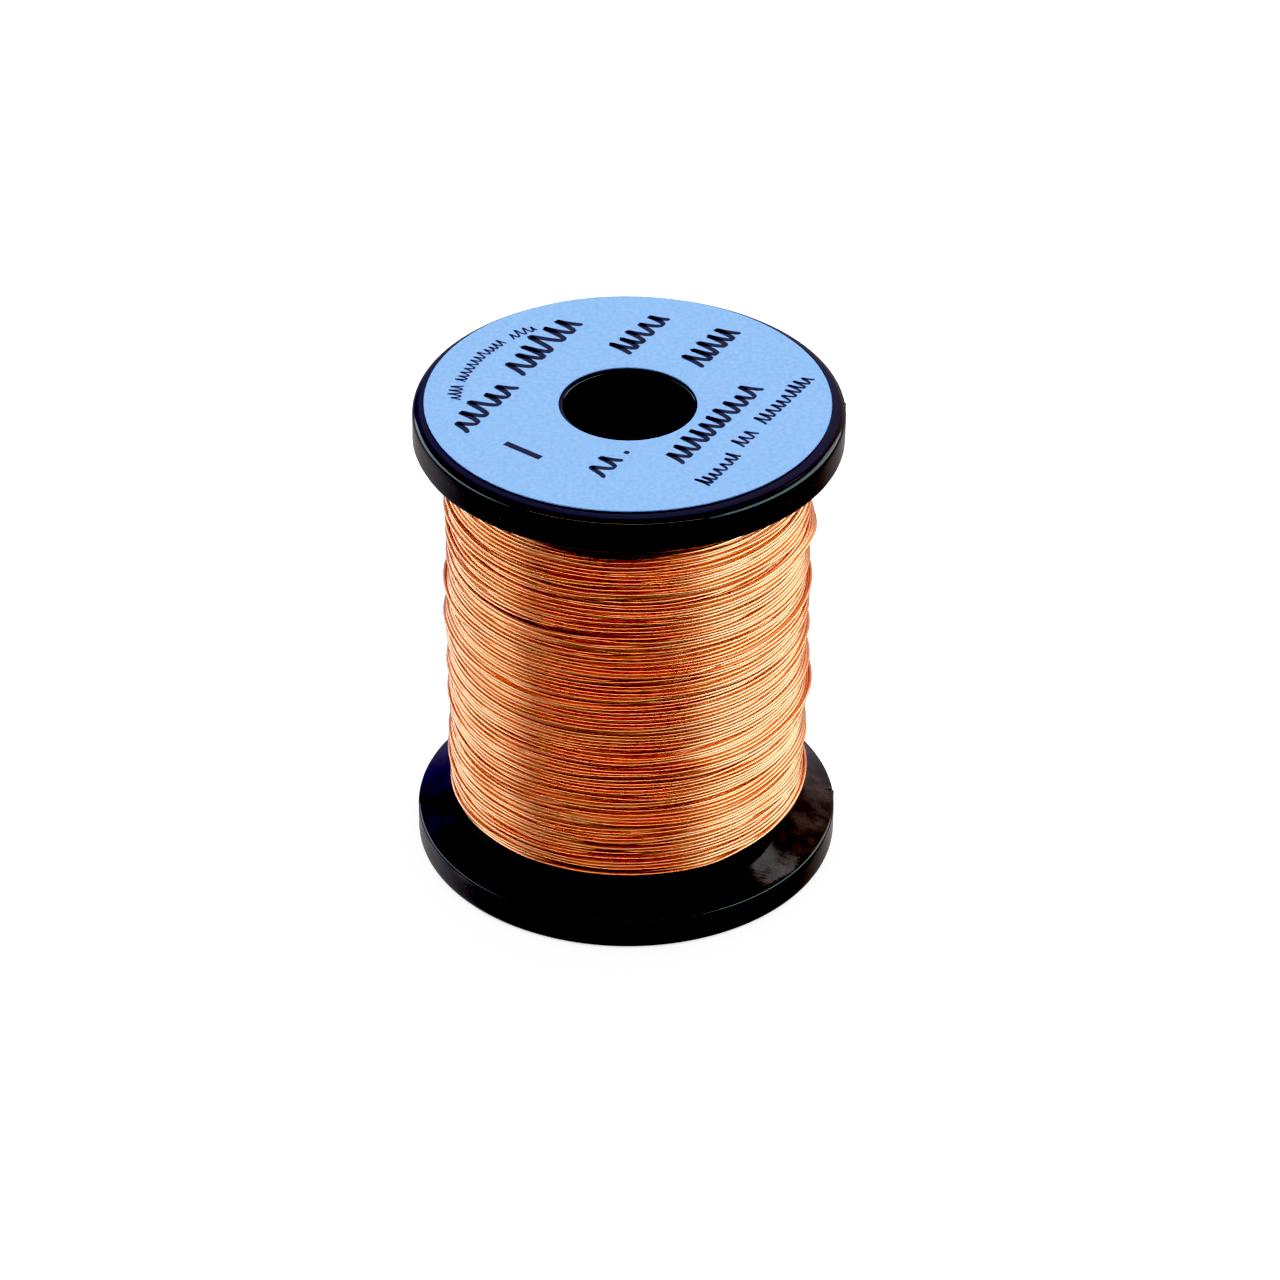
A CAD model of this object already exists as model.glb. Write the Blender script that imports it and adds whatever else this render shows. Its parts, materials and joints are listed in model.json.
"""Looks of the wire spool: the moulded spool, its label and the wound wire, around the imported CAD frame."""

import json
import math

import bpy
import numpy as np
from mathutils import Matrix, Quaternion, Vector, noise


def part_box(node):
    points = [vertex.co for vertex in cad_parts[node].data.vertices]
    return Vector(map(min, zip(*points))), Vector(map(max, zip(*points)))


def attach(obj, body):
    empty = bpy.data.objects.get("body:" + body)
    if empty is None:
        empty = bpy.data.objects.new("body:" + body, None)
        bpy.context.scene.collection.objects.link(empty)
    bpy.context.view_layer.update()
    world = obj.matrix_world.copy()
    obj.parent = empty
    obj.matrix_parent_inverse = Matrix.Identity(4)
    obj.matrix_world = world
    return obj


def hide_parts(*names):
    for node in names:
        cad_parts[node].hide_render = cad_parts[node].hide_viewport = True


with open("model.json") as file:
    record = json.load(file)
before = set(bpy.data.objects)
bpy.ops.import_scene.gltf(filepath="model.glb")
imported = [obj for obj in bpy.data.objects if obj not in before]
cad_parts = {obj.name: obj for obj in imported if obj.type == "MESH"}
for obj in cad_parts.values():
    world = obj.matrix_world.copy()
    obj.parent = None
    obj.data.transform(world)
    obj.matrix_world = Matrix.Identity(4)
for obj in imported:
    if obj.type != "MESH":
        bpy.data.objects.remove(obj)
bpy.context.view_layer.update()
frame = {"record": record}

# ---------------------------------------------------------------- sizes, in metres
MM = 0.001

spool_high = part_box("spool")[1]
label_low, label_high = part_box("label")
first_layer_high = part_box("wire_layer_1")[1]
BORE = next(m for m in frame["record"]["mounts"] if m["name"] == "bore")

FLANGE_R = spool_high.y
SPOOL_H = spool_high.z
BORE_R = BORE["dims"]["r_mm"] * MM
WIRE_D = 0.18 * MM
BARREL_R = first_layer_high.x - WIRE_D

# The moulding, as in the CAD model
RIM_H = 1.68 * MM
OUTER_ROUND = 0.38 * MM
INNER_ROUND = 0.2 * MM
CONE_ANGLE = math.radians(23)
LEAD_IN = 0.15 * MM
HUB_WALL = 1.3 * MM
BARREL_WALL = 1.25 * MM
DECK_T = 1.6 * MM
WEB_COUNT = 4
WEB_T = 1 * MM
FLASH_W = 0.12 * MM
FLASH_H = 0.05 * MM
PARTING_ANGLE = math.radians(4)

# The label's outline and its hole, each a little off the spool's axis
LABEL_R = (label_high.x - label_low.x) / 2
LABEL_CENTRE = Vector(((label_high.x + label_low.x) / 2, (label_high.y + label_low.y) / 2, 0))
LABEL_HOLE_R = 3.6 * MM
LABEL_HOLE_CENTRE = Vector((-0.06 * MM, -0.03 * MM, 0))


# ---------------------------------------------------------------- camera, lights and tones
CAMERA_PLACE = Vector((0, -256.2, 185.5)) * MM
CAMERA_AIM = Vector((0.67, 0, 12.1)) * MM
CAMERA_ROLL = math.radians(-0.51)
LENS = 163.6


def add_camera():
    """A long lens from 34 degrees above, as the spool was seen."""
    forward = (CAMERA_AIM - CAMERA_PLACE).normalized()
    right = forward.cross(Vector((0, 0, 1))).normalized()
    up = right.cross(forward)
    turn = Quaternion(forward, CAMERA_ROLL)
    right, up = turn @ right, turn @ up
    data = bpy.data.cameras.new("camera")
    data.lens = LENS
    data.sensor_width = 36
    data.clip_start = 0.01
    data.clip_end = 20
    camera = bpy.data.objects.new("camera", data)
    basis = Matrix((right, up, -forward)).transposed().to_4x4()
    camera.matrix_world = Matrix.Translation(CAMERA_PLACE) @ basis
    bpy.context.scene.collection.objects.link(camera)
    bpy.context.scene.camera = camera


# The tent of lights: its distance from the spool's axis, and the width of a strip of it in degrees
TENT_R = 0.5
STRIP = 8
# How bright each side of the tent is at which angle, as a share of its luminance
RIGHT_PROFILE = ((33, 0), (54, 1), (80, 0.95), (134, 0.55))
LEFT_PROFILE = ((-140, 0.72), (-104, 0.92), (-76, 1), (-52, 0))
# Tints of the tent's front and sides
FRONT_TINT = (1.0, 0.72, 0.61)
RIGHT_TINT = (0.69, 0.93, 1.0)
LEFT_TINT = (0.69, 0.92, 1.0)


def add_panel(name, place, aim, size, luminance, tint=(1, 1, 1)):
    """A rectangular soft light of the given luminance, turned towards aim."""
    data = bpy.data.lights.new(name, "AREA")
    data.shape = "RECTANGLE"
    data.size, data.size_y = size
    data.energy = luminance * math.pi * size[0] * size[1]
    data.color = tint
    light = bpy.data.objects.new(name, data)
    direction = Vector(aim) - Vector(place)
    light.matrix_world = Matrix.Translation(place) @ direction.to_track_quat("-Z", "Y").to_matrix().to_4x4()
    bpy.context.scene.collection.objects.link(light)
    return light


def around(angle, distance, height):
    """A place at this angle round the axis, measured from the camera's side towards its right."""
    turn = math.radians(angle)
    return Vector((distance * math.sin(turn), -distance * math.cos(turn), height))


def add_upright(name, start, end, bottom, height, luminance, tint):
    """An upright panel of the tent that spans these angles."""
    middle = bottom + height / 2
    width = 2 * TENT_R * math.tan(math.radians(end - start) / 2)
    place = around((start + end) / 2, TENT_R, middle)
    panel = add_panel(name, place, (0, 0, middle), (width, height), luminance, tint)
    panel.visible_diffuse = False


def add_side(name, profile, bottom, height, luminance, tint):
    """A side of the tent in strips, whose luminance follows a profile of angles and shares."""
    angles, shares = zip(*profile)
    count = round((angles[-1] - angles[0]) / STRIP)
    edges = np.linspace(angles[0], angles[-1], count + 1)
    for k, (start, end) in enumerate(zip(edges, edges[1:])):
        share = np.interp((start + end) / 2, angles, shares)
        add_upright(f"{name}_{k}", start, end, bottom, height, luminance * share, tint)


def add_lights():
    """A tent with bright sides and a high front strip for reflections, and one panel for floor and label."""
    add_upright("panel_front", -56, 40, bottom=0.46, height=0.14, luminance=8.5, tint=FRONT_TINT)
    add_side("panel_right", RIGHT_PROFILE, bottom=0.03, height=0.31, luminance=6.9, tint=RIGHT_TINT)
    add_side("panel_left", LEFT_PROFILE, bottom=0.02, height=0.2, luminance=5.9, tint=LEFT_TINT)
    # A small window behind on the right, which glints on the lower flange
    window = add_panel("window_right", (0.232, 0.212, 0.389), (0, 0, 0), size=(0.05, 0.07), luminance=3.0)
    window.visible_diffuse = False
    overhead = add_panel("panel_overhead", (0, 0, 0.9), (0, 0.001, 0), size=(1.6, 1.6), luminance=2.0)
    overhead.visible_glossy = False


# Colours of the world, which only reflections show
WALL_FAR_LEFT = (0.3, 0.26, 0.58)
WALL_MIDDLE = (0.84, 0.82, 1.29)
WALL_RIGHT = (0.8, 0.66, 0.6)
ROOM_FRONT = (0.05, 0.035, 0.03)
TABLE_LEFT = (0.58, 0.56, 0.6)
TABLE_RIGHT = (0.34, 0.29, 0.27)
TABLE_FRONT = (0.02, 0.02, 0.02)
TABLE_BACK = (0.42, 0.38, 0.38)


def add_world():
    """A room that is dark in front and pale behind, bluish on the left and brownish on the right."""
    world = bpy.data.worlds.new("studio")
    world.use_nodes = True
    tree = world.node_tree
    where = tree.nodes.new("ShaderNodeTexCoord")
    split = tree.nodes.new("ShaderNodeSeparateXYZ")
    tree.links.new(where.outputs["Generated"], split.inputs["Vector"])

    def ramp(axis, low, high, low_colour, high_colour):
        """Colour that goes from one to the other along this axis of the direction looked in."""
        spread = tree.nodes.new("ShaderNodeMapRange")
        spread.inputs["From Min"].default_value = low
        spread.inputs["From Max"].default_value = high
        tree.links.new(split.outputs[axis], spread.inputs["Value"])
        mix = tree.nodes.new("ShaderNodeMix")
        mix.data_type = "RGBA"
        tree.links.new(spread.outputs["Result"], mix.inputs[0])
        for socket, colour in ((mix.inputs[6], low_colour), (mix.inputs[7], high_colour)):
            if isinstance(colour, tuple):
                socket.default_value = (*colour, 1)
            else:
                tree.links.new(colour, socket)
        return mix.outputs[2]

    # Above the table: the room behind, from left to right, which goes dark towards the camera
    left = ramp("X", -0.45, 0.0, WALL_FAR_LEFT, WALL_MIDDLE)
    wall = ramp("X", 0.0, 0.5, left, WALL_RIGHT)
    room = ramp("Y", 0.05, 0.6, ROOM_FRONT, wall)
    # Below: the table in front, at both sides and behind
    sides = ramp("X", -0.4, 0.4, TABLE_LEFT, TABLE_RIGHT)
    table = ramp("Y", -0.65, -0.3, TABLE_FRONT, sides)
    table = ramp("Y", 0.5, 0.78, table, TABLE_BACK)
    tree.links.new(ramp("Z", -0.04, 0.04, table, room), tree.nodes["Background"].inputs["Color"])
    bpy.context.scene.world = world


# Light at which the picture turns black and white, and points of the curve between: light and what is shown
BLACK_LEVEL = 0.03
WHITE_LEVEL = 2.0
TONES = ((0.175, 0.35), (0.35, 0.68), (0.5, 0.89), (0.7, 0.985))


def set_contrast():
    """The tones of a product photograph: the darkest go to black, and the lightest reach white softly."""
    settings = bpy.context.scene.view_settings
    settings.view_transform = "Standard"
    settings.use_curve_mapping = True
    mapping = settings.curve_mapping
    mapping.black_level = (BLACK_LEVEL, BLACK_LEVEL, BLACK_LEVEL)
    mapping.white_level = (WHITE_LEVEL, WHITE_LEVEL, WHITE_LEVEL)
    for light, shown in TONES:
        mapping.curves[3].points.new(light, shown)
    mapping.update()


# ---------------------------------------------------------------- materials
class Nodes:
    """A material's node tree, with short calls for the few kinds of node that are used here."""

    def __init__(self, name):
        self.material = bpy.data.materials.new(name)
        self.material.use_nodes = True
        self.tree = self.material.node_tree
        self.shader = self.tree.nodes["Principled BSDF"]
        coordinates = self.tree.nodes.new("ShaderNodeTexCoord")
        self.place = coordinates.outputs["Object"]

    def link(self, source, target):
        self.tree.links.new(source, target)

    def stretched(self, scale):
        """Object coordinates, scaled along each axis."""
        node = self.tree.nodes.new("ShaderNodeMapping")
        node.inputs["Scale"].default_value = scale
        self.link(self.place, node.inputs["Vector"])
        return node.outputs["Vector"]

    def axis(self, name):
        """One of the object coordinates."""
        node = self.tree.nodes.new("ShaderNodeSeparateXYZ")
        self.link(self.place, node.inputs["Vector"])
        return node.outputs[name]

    def product(self, a, b):
        """Two values multiplied."""
        node = self.tree.nodes.new("ShaderNodeMath")
        node.operation = "MULTIPLY"
        self.link(a, node.inputs[0])
        self.link(b, node.inputs[1])
        return node.outputs["Value"]

    def noise(self, scale, detail, rough=0.55, place=None):
        """Noise between 0 and 1 with this many features to a metre."""
        node = self.tree.nodes.new("ShaderNodeTexNoise")
        node.inputs["Scale"].default_value = scale
        node.inputs["Detail"].default_value = detail
        node.inputs["Roughness"].default_value = rough
        self.link(place or self.place, node.inputs["Vector"])
        return node.outputs["Fac"]

    def ramp(self, value, low, high, low_colour, high_colour):
        """Colour that goes from one to the other as value goes from low to high."""
        node = self.tree.nodes.new("ShaderNodeValToRGB")
        first, last = node.color_ramp.elements
        first.position, last.position = low, high
        first.color = (*low_colour, 1)
        last.color = (*high_colour, 1)
        self.link(value, node.inputs["Fac"])
        return node.outputs["Color"]

    def scaled(self, value, low, high, to_low, to_high):
        """The value, with the range from low to high spread over the range from to_low to to_high."""
        node = self.tree.nodes.new("ShaderNodeMapRange")
        node.inputs["From Min"].default_value = low
        node.inputs["From Max"].default_value = high
        node.inputs["To Min"].default_value = to_low
        node.inputs["To Max"].default_value = to_high
        self.link(value, node.inputs["Value"])
        return node.outputs["Result"]

    def mixed(self, factor, colour_a, colour_b):
        """Colour a where the factor is 0, and colour b where it is 1."""
        node = self.tree.nodes.new("ShaderNodeMix")
        node.data_type = "RGBA"
        self.link(factor, node.inputs[0])
        for socket, colour in ((node.inputs[6], colour_a), (node.inputs[7], colour_b)):
            if isinstance(colour, tuple):
                socket.default_value = (*colour, 1)
            else:
                self.link(colour, socket)
        return node.outputs[2]

    def bump(self, height, distance, strength, normal=None):
        """A normal bent by this height, on top of another normal if there is one."""
        node = self.tree.nodes.new("ShaderNodeBump")
        node.inputs["Distance"].default_value = distance
        node.inputs["Strength"].default_value = strength
        self.link(height, node.inputs["Height"])
        if normal:
            self.link(normal, node.inputs["Normal"])
        return node.outputs["Normal"]


def copper_material():
    """Bright bare copper: drawn wire with fine lines along it, and some turns a little more tarnished."""
    m = Nodes("bare_copper")
    dull = (0.94, 0.385, 0.185)
    clean = (0.96, 0.455, 0.245)
    tarnish = (0.9, 0.28, 0.11)
    turns = m.noise(1, 2, place=m.stretched((160, 160, 5200)))
    patches = m.noise(260, 3)
    bright = m.ramp(turns, 0.3, 0.72, dull, clean)
    colour = m.mixed(m.scaled(patches, 0.45, 0.75, 0, 0.35), bright, tarnish)
    m.link(colour, m.shader.inputs["Base Color"])
    m.shader.inputs["Metallic"].default_value = 1
    m.link(m.scaled(turns, 0.3, 0.7, 0.22, 0.3), m.shader.inputs["Roughness"])
    drawn = m.noise(1, 2, place=m.stretched((300, 300, 60000)))
    m.link(m.bump(drawn, 0.001 * MM, 0.08), m.shader.inputs["Normal"])
    return m.material


def plastic_material():
    """Glossy black moulded plastic with fine scratches, handling marks and specks of dust."""
    m = Nodes("black_plastic")
    black = (0.002, 0.002, 0.0024)
    brown_haze = (0.08, 0.058, 0.048)
    blue_haze = (0.014, 0.014, 0.05)
    dust_grey = (0.12, 0.11, 0.1)
    scratches = m.noise(900, 2, place=m.stretched((1, 14, 5)))
    smears = m.noise(180, 5, 0.6)
    dust = m.noise(9000, 1, 0.3)
    specks = m.scaled(dust, 0.8, 0.85, 0, 1)
    # 1 between the rims, on the flanges' sloping faces, and 0 on the rims and the end faces
    above_lower = m.scaled(m.axis("Z"), 1.7 * MM, 2 * MM, 0, 1)
    below_upper = m.scaled(m.axis("Z"), 24.8 * MM, 25.1 * MM, 1, 0)
    face = m.product(above_lower, below_upper)
    # Fingers left brownish haze on the right and a little bluish haze at the far left
    cloudy = m.scaled(m.noise(420, 6, 0.65), 0.44, 0.74, 0, 1)
    handled = m.product(m.scaled(m.axis("X"), 2 * MM, 9.5 * MM, 0, 1), face)
    hazy = m.mixed(m.product(cloudy, handled), black, brown_haze)
    smudged = m.product(m.scaled(m.axis("X"), -9.6 * MM, -7.8 * MM, 1, 0), face)
    hazy = m.mixed(m.product(cloudy, smudged), hazy, blue_haze)
    m.link(m.mixed(specks, hazy, dust_grey), m.shader.inputs["Base Color"])
    m.link(m.scaled(smears, 0.3, 0.75, 0.04, 0.1), m.shader.inputs["Roughness"])
    m.shader.inputs["IOR"].default_value = 1.46
    m.shader.inputs["Specular IOR Level"].default_value = 0.28
    normal = m.bump(scratches, 0.01 * MM, 0.3)
    m.link(m.bump(smears, 0.06 * MM, 0.35, normal), m.shader.inputs["Normal"])
    return m.material


def paper_material():
    """Light blue label paper with fine fibres and a mottled tint."""
    m = Nodes("blue_paper")
    deep = (0.21, 0.41, 0.84)
    pale = (0.285, 0.505, 0.95)
    even = (0.255, 0.475, 0.91)
    mottle = m.noise(4200, 3, 0.6)
    wash = m.noise(500, 3)
    colour = m.ramp(mottle, 0.34, 0.66, deep, pale)
    colour = m.mixed(m.scaled(wash, 0.3, 0.7, 0, 0.3), colour, even)
    m.link(colour, m.shader.inputs["Base Color"])
    m.link(m.scaled(mottle, 0.2, 0.8, 0.62, 0.8), m.shader.inputs["Roughness"])
    m.shader.inputs["Specular IOR Level"].default_value = 0.2
    fibres = m.noise(7000, 4, 0.7, place=m.stretched((1, 0.45, 1)))
    m.link(m.bump(fibres, 0.012 * MM, 0.5), m.shader.inputs["Normal"])
    return m.material


def ink_material():
    """Dark blue-black print, a little uneven where it sank into the paper."""
    m = Nodes("print_ink")
    uneven = m.noise(6500, 3, 0.6)
    colour = m.ramp(uneven, 0.3, 0.8, (0.006, 0.007, 0.016), (0.022, 0.026, 0.05))
    m.link(colour, m.shader.inputs["Base Color"])
    m.link(m.scaled(uneven, 0.2, 0.8, 0.5, 0.7), m.shader.inputs["Roughness"])
    m.shader.inputs["Specular IOR Level"].default_value = 0.3
    return m.material


def floor_material():
    """White, slightly uneven and glowing a little, which keeps the shadow on it faint."""
    m = Nodes("pale_floor")
    cloudy = m.noise(9, 3)
    m.link(m.ramp(cloudy, 0.3, 0.7, (0.86, 0.86, 0.86), (0.9, 0.9, 0.9)), m.shader.inputs["Base Color"])
    m.shader.inputs["Emission Color"].default_value = (1, 1, 1, 1)
    m.shader.inputs["Emission Strength"].default_value = 0.8
    m.link(m.scaled(cloudy, 0.3, 0.7, 0.85, 0.95), m.shader.inputs["Roughness"])
    m.shader.inputs["Specular IOR Level"].default_value = 0.1
    return m.material


# ---------------------------------------------------------------- mesh helpers
SMOOTH_ANGLE = math.radians(35)


def mesh_piece(name, points, faces, material):
    """An object with this mesh, shaded smooth except at its sharp edges."""
    mesh = bpy.data.meshes.new(name)
    mesh.from_pydata([tuple(p) for p in points], [], faces)
    mesh.update()
    mesh.materials.append(material)
    piece = bpy.data.objects.new(name, mesh)
    bpy.context.scene.collection.objects.link(piece)
    shade_smooth(piece)
    return piece


def shade_smooth(piece):
    """Smooth shading, except across edges that are sharper than the angle above."""
    mesh = piece.data
    mesh.polygons.foreach_set("use_smooth", [True] * len(mesh.polygons))
    mesh.set_sharp_from_angle(angle=SMOOTH_ANGLE)


def arc(centre_r, centre_z, radius, start, end, steps):
    """Points (r, z) of an arc, angles in degrees."""
    turns = np.radians(np.linspace(start, end, steps + 1))
    return [(centre_r + radius * math.cos(t), centre_z + radius * math.sin(t)) for t in turns]


def line(start, end, steps):
    """Points between start and end, without either."""
    return [
        (start[0] + (end[0] - start[0]) * i / steps, start[1] + (end[1] - start[1]) * i / steps)
        for i in range(1, steps)
    ]


def closed_grid(rows, columns):
    """Faces over points laid out row by row, closed both ways like a ring."""
    return [
        (
            row * columns + k,
            (row + 1) % rows * columns + k,
            (row + 1) % rows * columns + (k + 1) % columns,
            row * columns + (k + 1) % columns,
        )
        for row in range(rows)
        for k in range(columns)
    ]


# ---------------------------------------------------------------- the moulded spool
def face_z(r):
    """Height of the lower flange's sloping face at radius r."""
    start_r = FLANGE_R - INNER_ROUND * (1 - math.sin(CONE_ANGLE))
    start_z = RIM_H + INNER_ROUND * math.cos(CONE_ANGLE)
    return start_z + (start_r - r) * math.tan(CONE_ANGLE)


def half_outline():
    """Outline (r, z) of the lower half, from the bore outwards and up to the barrel."""
    bore = arc(BORE_R + LEAD_IN, LEAD_IN, LEAD_IN, 180, 270, 5)
    edge = arc(FLANGE_R - OUTER_ROUND, OUTER_ROUND, OUTER_ROUND, -90, 0, 8)
    turn = arc(FLANGE_R - INNER_ROUND, RIM_H, INNER_ROUND, 0, 90 - math.degrees(CONE_ANGLE), 8)
    root = (BARREL_R, face_z(BARREL_R))
    face = line(bore[-1], edge[0], 12)
    rim = line(edge[-1], turn[0], 4)
    cone = line(turn[-1], root, 14)
    return bore + face + edge + rim + turn + cone + [root]


def spool_outline():
    """The moulding's closed outline: the lower half, the barrel, the same half upside down, the bore."""
    lower = half_outline()
    upper = [(r, SPOOL_H - z) for r, z in reversed(lower)]
    barrel = line(lower[-1], upper[0], 10)
    bore = line(upper[-1], lower[0], 10)
    return lower + barrel + upper + bore


def outward(outline):
    """Unit normals of a closed outline, pointing away from its solid."""
    points = np.array(outline)
    along = np.roll(points, -1, 0) - np.roll(points, 1, 0)
    normals = np.stack([along[:, 1], -along[:, 0]], 1)
    return normals / np.linalg.norm(normals, axis=1, keepdims=True)


# Steps round the axis for the spool and the label
ROUND_STEPS = 256


def spool_angles():
    """Even steps round the axis, with extra ones where the flash stands up."""
    even = list(np.arange(ROUND_STEPS) * 2 * math.pi / ROUND_STEPS)
    half = FLASH_W / 2 / FLANGE_R
    extra = [PARTING_ANGLE + k * half for k in (-1.4, -0.8, -0.3, 0, 0.3, 0.8, 1.4)]
    clearance = 0.004
    kept = [a for a in even if min(abs(a - e) for e in extra) > clearance]
    return np.array(sorted(kept + extra))


def flash_share(angle):
    """1 on the parting plane, 0 beside the flash, which is a little wider at its foot."""
    away = abs(math.remainder(angle - PARTING_ANGLE, 2 * math.pi))
    half_foot = FLASH_W * 0.6
    return max(0.0, 1 - away * FLANGE_R / half_foot)


# Height and fineness of the unevenness of the flanges' sloping faces
WAVES = ((0.022 * MM, 420), (0.01 * MM, 1100))


def spool_body(material):
    """The moulding before its core-outs are cut: the outline turned round the axis, with flash and waves."""
    outline = spool_outline()
    normals = outward(outline)
    angles = spool_angles()
    rim_low = OUTER_ROUND * 0.8
    points = []
    for angle in angles:
        across = Vector((math.cos(angle), math.sin(angle), 0))
        share = flash_share(angle)
        for (r, z), (nr, nz) in zip(outline, normals):
            height = min(z, SPOOL_H - z)
            on_rim = r > FLANGE_R - INNER_ROUND and rim_low < height < RIM_H + INNER_ROUND
            lift = FLASH_H * share if on_rim else 0.0
            if r > BARREL_R + WIRE_D and height > RIM_H:
                # The sloping faces are slightly uneven, which bends their reflections
                where = across * r + Vector((0, 0, z))
                lift += sum(deep * noise.noise(where * fine) for deep, fine in WAVES)
            points.append(across * (r + nr * lift) + Vector((0, 0, z + nz * lift)))
    return mesh_piece("moulded_spool", points, closed_grid(len(angles), len(outline)), material)


# A core-out's corner radius, how far its walls close in towards its end, and how far its mouth flares
CORE_CORNER = 0.3 * MM
CORE_TAPER = 0.1 * MM
CORE_FLARE = 0.12 * MM
# How far the cutter reaches below the underside
CORE_REACH = 0.5 * MM


def core_section(grow, bottom, top):
    """Loops of one core-out, from its flared mouth to its tapered end: a ring sector with round corners."""
    levels = [(bottom - CORE_REACH, grow), (bottom, grow), (bottom + grow, 0), (top, -CORE_TAPER)]
    bends = np.radians(np.linspace(0, 90, 5))
    loops = []
    for z, wider in levels:
        # The outer wall, then the inner one, each with a corner at both ends
        corner = CORE_CORNER + wider
        loop = []
        for r, side in ((BARREL_R - BARREL_WALL + wider, -1), (BORE_R + HUB_WALL - wider, 1)):
            reach = -side * (math.pi / WEB_COUNT - (WEB_T / 2 - wider) / r)
            turn = -side * corner / r
            loop += [(r + side * corner * (1 - math.sin(b)), turn * (1 - math.cos(b)) - reach) for b in bends]
            loop += [(r, a) for a in np.linspace(turn - reach, reach - turn, 18)[1:-1]]
            loop += [(r + side * corner * (1 - math.cos(b)), reach - turn * (1 - math.sin(b))) for b in bends]
        loops.append([(r * math.cos(a), r * math.sin(a), z) for r, a in loop])
    return loops


def cut_core_outs(piece):
    """Takes the hollows between tube and barrel out of the underside."""
    loops = core_section(CORE_FLARE, 0, SPOOL_H - DECK_T)
    size = len(loops[0])
    points, faces = [], []
    for w in range(WEB_COUNT):
        turn = Matrix.Rotation((w + 1) * 2 * math.pi / WEB_COUNT, 3, "Z")
        start = len(points)
        for loop in loops:
            points += [turn @ Vector(p) for p in loop]
        for level in range(len(loops) - 1):
            for k in range(size):
                a = start + level * size
                faces.append((a + k, a + (k + 1) % size, a + size + (k + 1) % size, a + size + k))
        faces.append(tuple(start + k for k in reversed(range(size))))
        faces.append(tuple(start + (len(loops) - 1) * size + k for k in range(size)))
    cutter = mesh_piece("core_cutter", points, faces, piece.data.materials[0])
    modifier = piece.modifiers.new("cores", "BOOLEAN")
    modifier.operation = "DIFFERENCE"
    modifier.solver = "EXACT"
    modifier.object = cutter
    apply_modifiers(piece)
    bpy.data.objects.remove(cutter)
    shade_smooth(piece)


def apply_modifiers(piece):
    """Replaces a piece's mesh with what its modifiers make of it."""
    graph = bpy.context.evaluated_depsgraph_get()
    mesh = bpy.data.meshes.new_from_object(piece.evaluated_get(graph))
    piece.modifiers.clear()
    old = piece.data
    piece.data = mesh
    bpy.data.meshes.remove(old)


# ---------------------------------------------------------------- the label and its print
def label_disc(material):
    """A disc of paper with softly cut edges and a hole that isn't quite concentric with it."""
    edge = 0.02 * MM
    low, high = label_low.z, label_high.z
    # Each ring of points: its share of the way from the hole to the rim, its inset and its height
    rings = [(1, -edge, low), (1, 0, low + edge), (1, 0, high - edge), (1, -edge, high)]
    rings += [(share, -edge, high) for share in (0.8, 0.6, 0.4, 0.2)]
    rings += [(0, edge, high), (0, 0, high - edge), (0, 0, low + edge), (0, edge, low)]
    points = []
    for share, shift, z in rings:
        for k in range(ROUND_STEPS):
            angle = 2 * math.pi * k / ROUND_STEPS
            across = Vector((math.cos(angle), math.sin(angle), 0))
            outer = LABEL_CENTRE + across * (LABEL_R - edge)
            inner = LABEL_HOLE_CENTRE + across * (LABEL_HOLE_R + edge)
            at = inner.lerp(outer, share)
            if share in (0, 1):
                at += across * ((edge + shift) if share else (shift - edge))
            points.append(at + Vector((0, 0, z)))
    # The rings run from the rim inwards over the top, so their faces are turned round
    faces = [face[::-1] for face in closed_grid(len(rings), ROUND_STEPS)]
    return mesh_piece("paper_label", points, faces, material)


# Direction that the print runs in, how far it is sunk into the label, and how far it stands above it
TEXT_TURN = math.radians(60)
INK_SUNK = 0.002 * MM
INK_LIFT = 0.006 * MM
PRINT_SEED = 3
STEPS_PER_HUMP = 14

# Scribbles, in millimetres from the spool's axis: start and end along the print's direction, base line,
# height, width of a hump, weight of the stroke, and the radius of the arc it follows, or 0 for a straight row
SCRIBBLES = (
    (-6.8, -1.6, 5.7, 1.4, 0.95, 0.36, 0),
    (-0.5, 5.6, 6.1, 1.5, 0.95, 0.36, 0),
    (4.2, 8.4, 2.4, 1.3, 0.9, 0.34, 0),
    (-6.9, -4.9, -2.5, 1.2, 0.8, 0.32, 0),
    (5.0, 9.1, -1.5, 1.3, 0.9, 0.34, 0),
    (-3.7, 4.8, -5.3, 1.3, 0.85, 0.32, 0),
    (-4.8, -1.5, -7.5, 0.85, 0.5, 0.18, 0),
    (-0.7, 0.9, -7.2, 0.85, 0.5, 0.18, 0),
    (1.8, 7.0, -7.1, 0.85, 0.5, 0.18, 0),
    (-4.4, -3.0, 0, 0.62, 0.36, 0.12, 8.75),
    (-2.6, 1.9, 0, 0.62, 0.36, 0.12, 8.75),
    (2.4, 4.0, 0, 0.62, 0.36, 0.12, 8.75),
)


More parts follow.
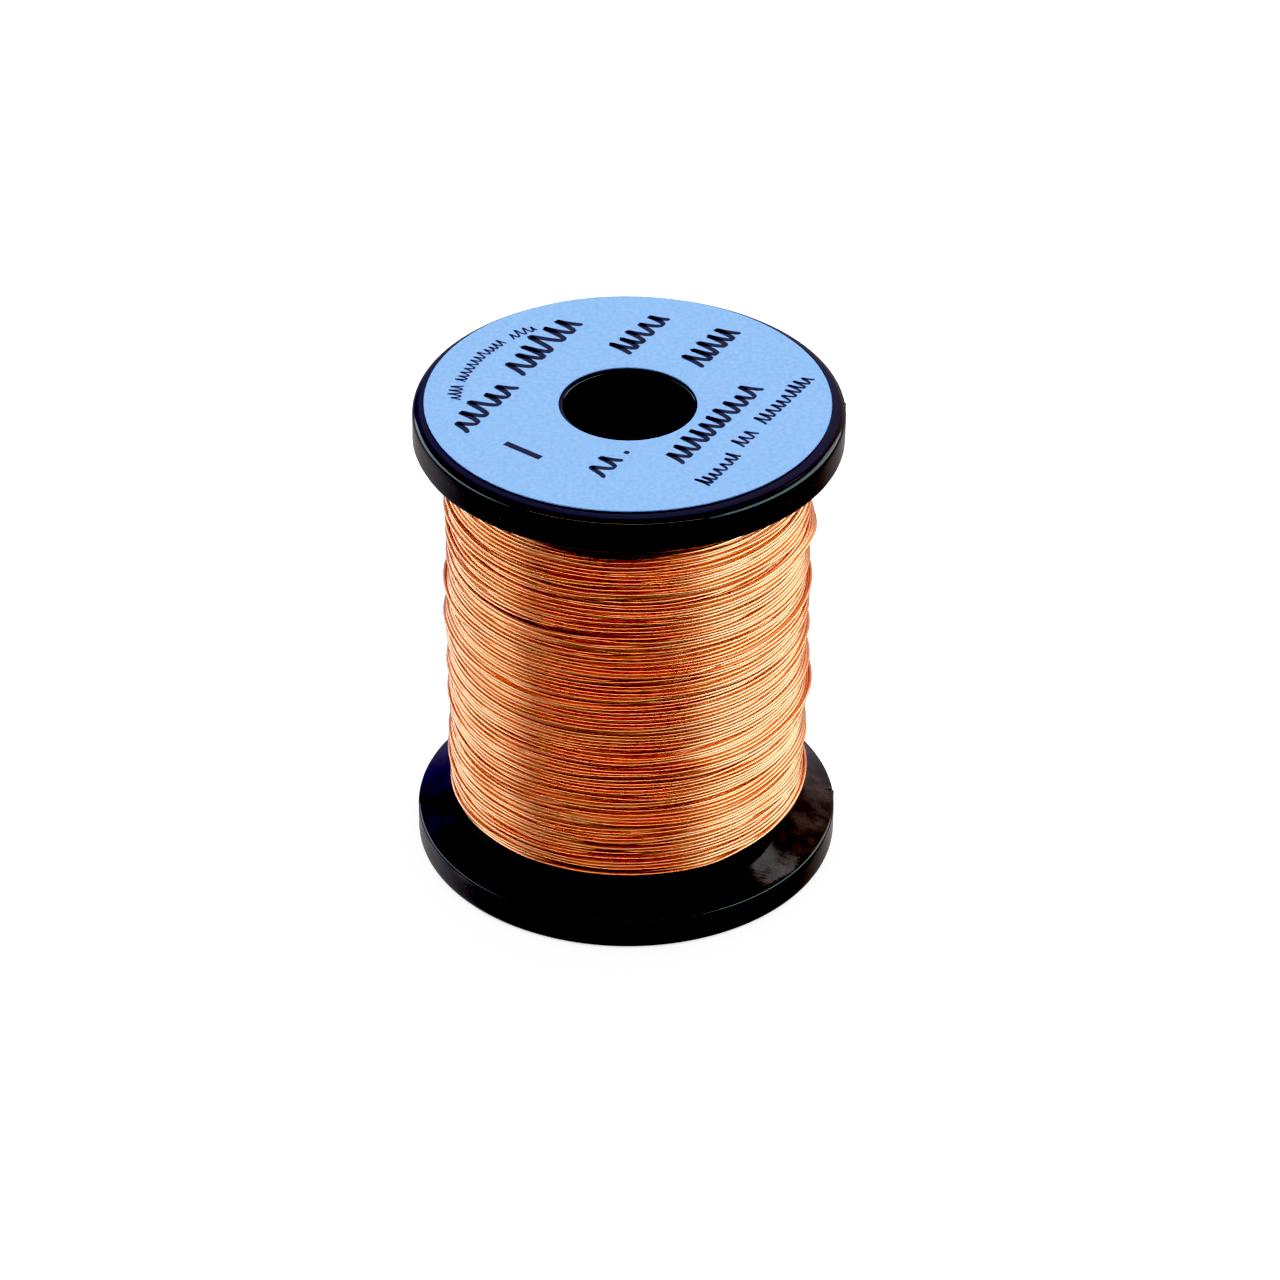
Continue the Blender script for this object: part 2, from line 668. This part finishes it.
def squiggle(start, end, base, height, hump, weight, rng, bend=0.0):
    """Centre line and width of a scribble as long as a word, thick going up and thin going across.

    It runs along u from start to end in the label's plane, on an arc of radius bend if there is one.
    """
    humps = max(1, round((end - start) / hump))
    count = humps * STEPS_PER_HUMP + 1
    phase = np.linspace(0, humps, count)
    # The humps differ in height and in width
    tall = np.interp(phase, np.arange(humps + 1), rng.uniform(0.55, 1.3, humps + 1))
    ends = np.cumsum(rng.uniform(0.7, 1.3, humps))
    across = np.interp(phase, np.arange(humps + 1), np.concatenate([[0], ends / ends[-1]]))
    u = start + (end - start) * across + 0.1 * hump * np.sin(2 * math.pi * phase)
    v = base + height * tall * (1 - np.cos(2 * math.pi * phase)) / 2
    if bend:
        turn = u / bend
        u, v = (bend + v) * np.sin(turn), (bend + v) * np.cos(turn)
    middle = np.stack([u, v], 1)
    along = np.gradient(middle, axis=0)
    along /= np.linalg.norm(along, axis=1, keepdims=True)
    width = weight * (0.45 + 0.55 * np.abs(along[:, 1])) if not bend else np.full(count, weight)
    width[0] = width[-1] = 0.5 * weight
    return middle, width


def stroke(middle, width, low, high):
    """A closed flat ribbon along a centre line in the label's plane."""
    along = np.gradient(middle, axis=0)
    along /= np.linalg.norm(along, axis=1, keepdims=True)
    side = np.stack([-along[:, 1], along[:, 0]], 1) * width[:, None] / 2
    corners = [(middle - side, low), (middle + side, low), (middle + side, high), (middle - side, high)]
    points = []
    for k in range(len(middle)):
        for flat, z in corners:
            u, v = flat[k] * MM
            x = u * math.cos(TEXT_TURN) - v * math.sin(TEXT_TURN)
            y = u * math.sin(TEXT_TURN) + v * math.cos(TEXT_TURN)
            points.append((x, y, z))
    faces = [
        (4 * k + c, 4 * k + (c + 1) % 4, 4 * k + 4 + (c + 1) % 4, 4 * k + 4 + c)
        for k in range(len(middle) - 1)
        for c in range(4)
    ]
    end = 4 * (len(middle) - 1)
    return points, faces + [(3, 2, 1, 0), (end, end + 1, end + 2, end + 3)]


def label_print(material):
    """Rows of scribbles, a short bar and a dot where the label carries its words. They say nothing."""
    rng = np.random.default_rng(PRINT_SEED)
    shapes = [squiggle(*row[:6], rng, row[6]) for row in SCRIBBLES]
    # Centre lines in millimetres, each with its width at every point: the bar is even, the dot is rounded
    bar = np.linspace((-6.9, 1.2), (-6.6, 3.5), 6)
    dot = np.linspace((-4.35, -2.3), (-4.05, -2.3), 4)
    shapes += [(bar, np.full(len(bar), 0.4)), (dot, np.array([0.2, 0.3, 0.3, 0.2]))]
    points, faces = [], []
    for middle, width in shapes:
        own_points, own_faces = stroke(middle, width, label_high.z - INK_SUNK, label_high.z + INK_LIFT)
        faces += [tuple(len(points) + i for i in face) for face in own_faces]
        points += own_points
    return mesh_piece("label_print", points, faces, material)


# ---------------------------------------------------------------- the wound wire
# Steps in a turn, passes of the feeder, and how many sides the wire has in each pass
STEPS = 96
PASSES = 6
SIDES = (6, 6, 6, 6, 8, 10)
# Feed per turn, in the lower passes and in the last one
PITCH = 0.231 * MM
LAST_PITCH = 0.227 * MM
# Gap between the first pass's ends and the flanges, and how far each pass's ends step back from the one below
END_GAP = 0.06 * MM
LAYER_STEP = 0.075 * MM
# How far the feeder sways from its course, in the first passes and in the last two
SWAY = 0.02 * MM
LAST_SWAY = 0.085 * MM
# Resolution of the surface that the wire is laid on, how many cells a turn can slide into a gap,
# and how much deeper it has to come to rest for each cell that it slides
CELL = 0.01 * MM
SLIDE = 8
DRAG = 0.2
# Where the feeder lingers: share of the spool's height and how much longer it stays there
BULGES = ((0.585, 0.1), (0.37, 0.09))
BULGE_W = 2 * MM
# The last pass starts this far above the end of the one before. After its first, loose turns it jumps down
# and leaves a gap, and between two later turns it comes back to its course
TOP_REACH = 0.2 * MM
LOOSE_TURNS = 2.4
LOOSE_JUMP = 0.3
LOOSE_GAP = 0.34 * MM
BACK_FROM = 4
BACK_AT = 9
# The last turn, in shares of a turn: where past the front it starts to climb over its neighbours, how long
# the climb takes and how far it goes on after that. Then how high it climbs
CROSSING_AT = 0.055
CROSSING_TIME = 0.12
RUN_OUT = 0.5
CROSSING_RISE = 0.62 * MM
# How many steps either way the wire's stiffness evens out
STIFFNESS = 3
WIRE_SEED = 7


def smooth_random(count, reach, rng):
    """Smooth random values with a spread of about 1 that change over reach samples."""
    knots = rng.standard_normal(int(count / reach) + 4)
    at = np.arange(count) / reach
    i = at.astype(int)
    f = at - i
    a, b, c, d = (knots[i + k] for k in range(4))
    return 0.5 * (2 * b + (c - a) * f + (2 * a - 5 * b + 4 * c - d) * f**2 + (3 * b - a - 3 * c + d) * f**3)


def feed(low, high, pitch):
    """Heights, step by step, of one pass of the feeder, which lingers where the winding bulges."""
    z = np.linspace(low, high, 400)
    turns_per_metre = np.full(len(z), 1 / pitch)
    for share, extra in BULGES:
        turns_per_metre *= 1 + extra * np.exp(-(((z - share * SPOOL_H) / BULGE_W) ** 2))
    turns = np.concatenate([[0], np.cumsum((turns_per_metre[1:] + turns_per_metre[:-1]) / 2 * np.diff(z))])
    count = int(turns[-1] * STEPS)
    return np.interp(np.arange(count) / STEPS, turns, z)


def pass_start(n):
    """Height of the lowest turn of pass n."""
    return face_z(BARREL_R) + END_GAP + n * LAYER_STEP + WIRE_D / 2


def traverse(rng):
    """The height that the wire is fed at, step by step, and the pass that each step belongs to."""
    heights, passes = [], []
    for n in range(PASSES):
        low = pass_start(n)
        high = SPOOL_H - low
        last = n == PASSES - 1
        z = feed(low, high + (TOP_REACH if last else 0), LAST_PITCH if last else PITCH)
        if n % 2:
            z = z[::-1]
        # It sways within a turn, and less, but for longer, over a few turns
        sway = SWAY if n < PASSES - 2 else LAST_SWAY
        quick = smooth_random(len(z), STEPS * 0.4, rng)
        slow = smooth_random(len(z), STEPS * 2.3, rng)
        z = z + sway * quick + 0.6 * sway * slow
        if last:
            turn = np.arange(len(z)) / STEPS
            jumped = np.clip((turn - LOOSE_TURNS) / LOOSE_JUMP, 0, 1)
            away = np.clip((BACK_AT - turn) / (BACK_AT - BACK_FROM), 0, 1)
            z = z - LOOSE_GAP * jumped * away
        heights.append(np.clip(z, low, high + (TOP_REACH if last else 0)))
        passes.append(np.full(len(z), n))
    heights, passes = np.concatenate(heights), np.concatenate(passes)
    tail = finish(len(heights), pass_start(PASSES - 1))
    return np.concatenate([heights, tail]), np.pad(passes, (0, len(tail)), mode="edge")


def finish(start, low):
    """The last turn: it runs on past the front, climbs across its neighbours there and goes round behind."""
    lead = (STEPS - start % STEPS) % STEPS + int(STEPS * CROSSING_AT)
    climb = int(STEPS * CROSSING_TIME)
    ramp = 0.5 - 0.5 * np.cos(np.linspace(0, math.pi, climb))
    return low + CROSSING_RISE * np.concatenate([np.zeros(lead), ramp, np.ones(int(STEPS * RUN_OUT))])


def lay_wire():
    """Lays the wire turn by turn: each step comes to rest on whatever wire already lies below it."""
    rng = np.random.default_rng(WIRE_SEED)
    fed, passes = traverse(rng)
    cells = int(SPOOL_H / CELL) + 1
    reach = int(WIRE_D / CELL)
    offsets = np.arange(-reach, reach + 1) * CELL
    over = np.sqrt(np.maximum(WIRE_D**2 - offsets**2, 0))
    rest = np.full((STEPS, cells), BARREL_R + WIRE_D / 2)
    slide = np.arange(-SLIDE, SLIDE + 1)
    drag = DRAG * np.abs(slide) * CELL
    heights = np.empty(len(fed))
    radii = np.empty(len(fed))
    last = fed_last = int(round(fed[0] / CELL))
    for k, z in enumerate(fed):
        # A step slides from where it is fed to the lowest place near by, close to the step before it
        column = rest[k % STEPS]
        i = int(round(z / CELL))
        cell = i + slide[int((column[i - SLIDE : i + SLIDE + 1] + drag).argmin())]
        play = 1 + abs(i - fed_last)
        cell = min(max(cell, last - play), last + play)
        last, fed_last = cell, i
        radius = column[cell]
        heights[k] = cell * CELL
        radii[k] = radius
        part = column[cell - reach : cell + reach + 1]
        np.maximum(part, radius + over, out=part)
    return heights, radii, passes


def smoothed(values, reach):
    """Values averaged over a few steps either way."""
    window = np.hanning(2 * reach + 3)[1:-1]
    padded = np.pad(values, reach, mode="edge")
    return np.convolve(padded, window / window.sum(), "valid")


def wire_piece(name, points, sides, material):
    """A closed tube along the points."""
    points = np.asarray(points)
    along = np.gradient(points, axis=0)
    along /= np.linalg.norm(along, axis=1, keepdims=True)
    across = points * (1, 1, 0)
    across -= along * (across * along).sum(1, keepdims=True)
    across /= np.linalg.norm(across, axis=1, keepdims=True)
    third = np.cross(along, across)
    turns = 2 * math.pi * np.arange(sides) / sides
    ring = np.cos(turns)[None, :, None] * across[:, None] + np.sin(turns)[None, :, None] * third[:, None]
    rings = points[:, None] + ring * WIRE_D / 2
    count = len(points)
    grid = np.arange(count * sides).reshape(count, sides)
    a, b = grid[:-1], np.roll(grid[:-1], -1, 1)
    c, d = np.roll(grid[1:], -1, 1), grid[1:]
    quads = np.stack([a, b, c, d], -1).reshape(-1, 4)
    mesh = bpy.data.meshes.new(name)
    mesh.vertices.add(count * sides)
    mesh.vertices.foreach_set("co", rings.ravel())
    total = quads.size + 2 * sides
    mesh.loops.add(total)
    mesh.polygons.add(len(quads) + 2)
    loops = np.concatenate([quads.ravel(), grid[0][::-1], grid[-1]])
    starts = np.concatenate([np.arange(len(quads)) * 4, [quads.size, quads.size + sides]])
    mesh.loops.foreach_set("vertex_index", loops)
    mesh.polygons.foreach_set("loop_start", starts)
    mesh.update(calc_edges=True)
    mesh.validate()
    mesh.polygons.foreach_set("use_smooth", [True] * len(mesh.polygons))
    mesh.materials.append(material)
    piece = bpy.data.objects.new(name, mesh)
    bpy.context.scene.collection.objects.link(piece)
    return piece


def wind(material):
    """One continuous wire, with a piece for each pass that stands for the CAD model's ring of that pass."""
    heights, radii, passes = lay_wire()
    heights = smoothed(heights, STIFFNESS)
    radii = smoothed(radii, STIFFNESS)
    angles = 2 * math.pi * np.arange(len(heights)) / STEPS - math.pi / 2
    route = np.stack([radii * np.cos(angles), radii * np.sin(angles), heights], 1)
    length = np.linalg.norm(np.diff(route, axis=0), axis=1).sum()
    print(f"wire: {length:.2f} m in {len(heights) / STEPS:.0f} turns, outermost {radii.max() / MM:.2f} mm")
    for n in range(PASSES):
        own = np.flatnonzero(passes == n)
        part = route[own[0] : own[-1] + 2]
        node = "wire_outer_turns" if n == PASSES - 1 else f"wire_layer_{n + 1}"
        piece = wire_piece(f"copper_{node}", part, SIDES[n], material)
        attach(piece, "root")
        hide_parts(node)


# ---------------------------------------------------------------- the scene
def add_floor():
    """A pale table top, which reflections don't show."""
    half = 3
    corners = [(-half, -half, 0), (half, -half, 0), (half, half, 0), (-half, half, 0)]
    floor = mesh_piece("floor", corners, [(0, 1, 2, 3)], floor_material())
    floor.visible_glossy = False


def add_backdrop():
    """A pale wall all round, far off. It changes neither light nor reflections, and casts no shadow."""
    sides, radius, height = 64, 1.5, 2
    turns = [2 * math.pi * k / sides for k in range(sides)]
    points = [(radius * math.cos(t), radius * math.sin(t), z) for z in (0, height) for t in turns]
    faces = [((k + 1) % sides, k, sides + k, sides + (k + 1) % sides) for k in range(sides)]
    wall = mesh_piece("backdrop", points, faces, floor_material())
    wall.visible_glossy = False
    wall.visible_diffuse = False
    wall.visible_shadow = False


def dress():
    """All pieces of the object, each with the body that it rides on and the CAD node that it stands for."""
    spool = spool_body(plastic_material())
    cut_core_outs(spool)
    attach(spool, "root")
    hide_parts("spool")
    label = label_disc(paper_material())
    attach(label, "root")
    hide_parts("label")
    marks = label_print(ink_material())
    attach(marks, "root")
    wind(copper_material())


add_camera()
add_lights()
add_world()
set_contrast()
add_floor()
add_backdrop()
dress()
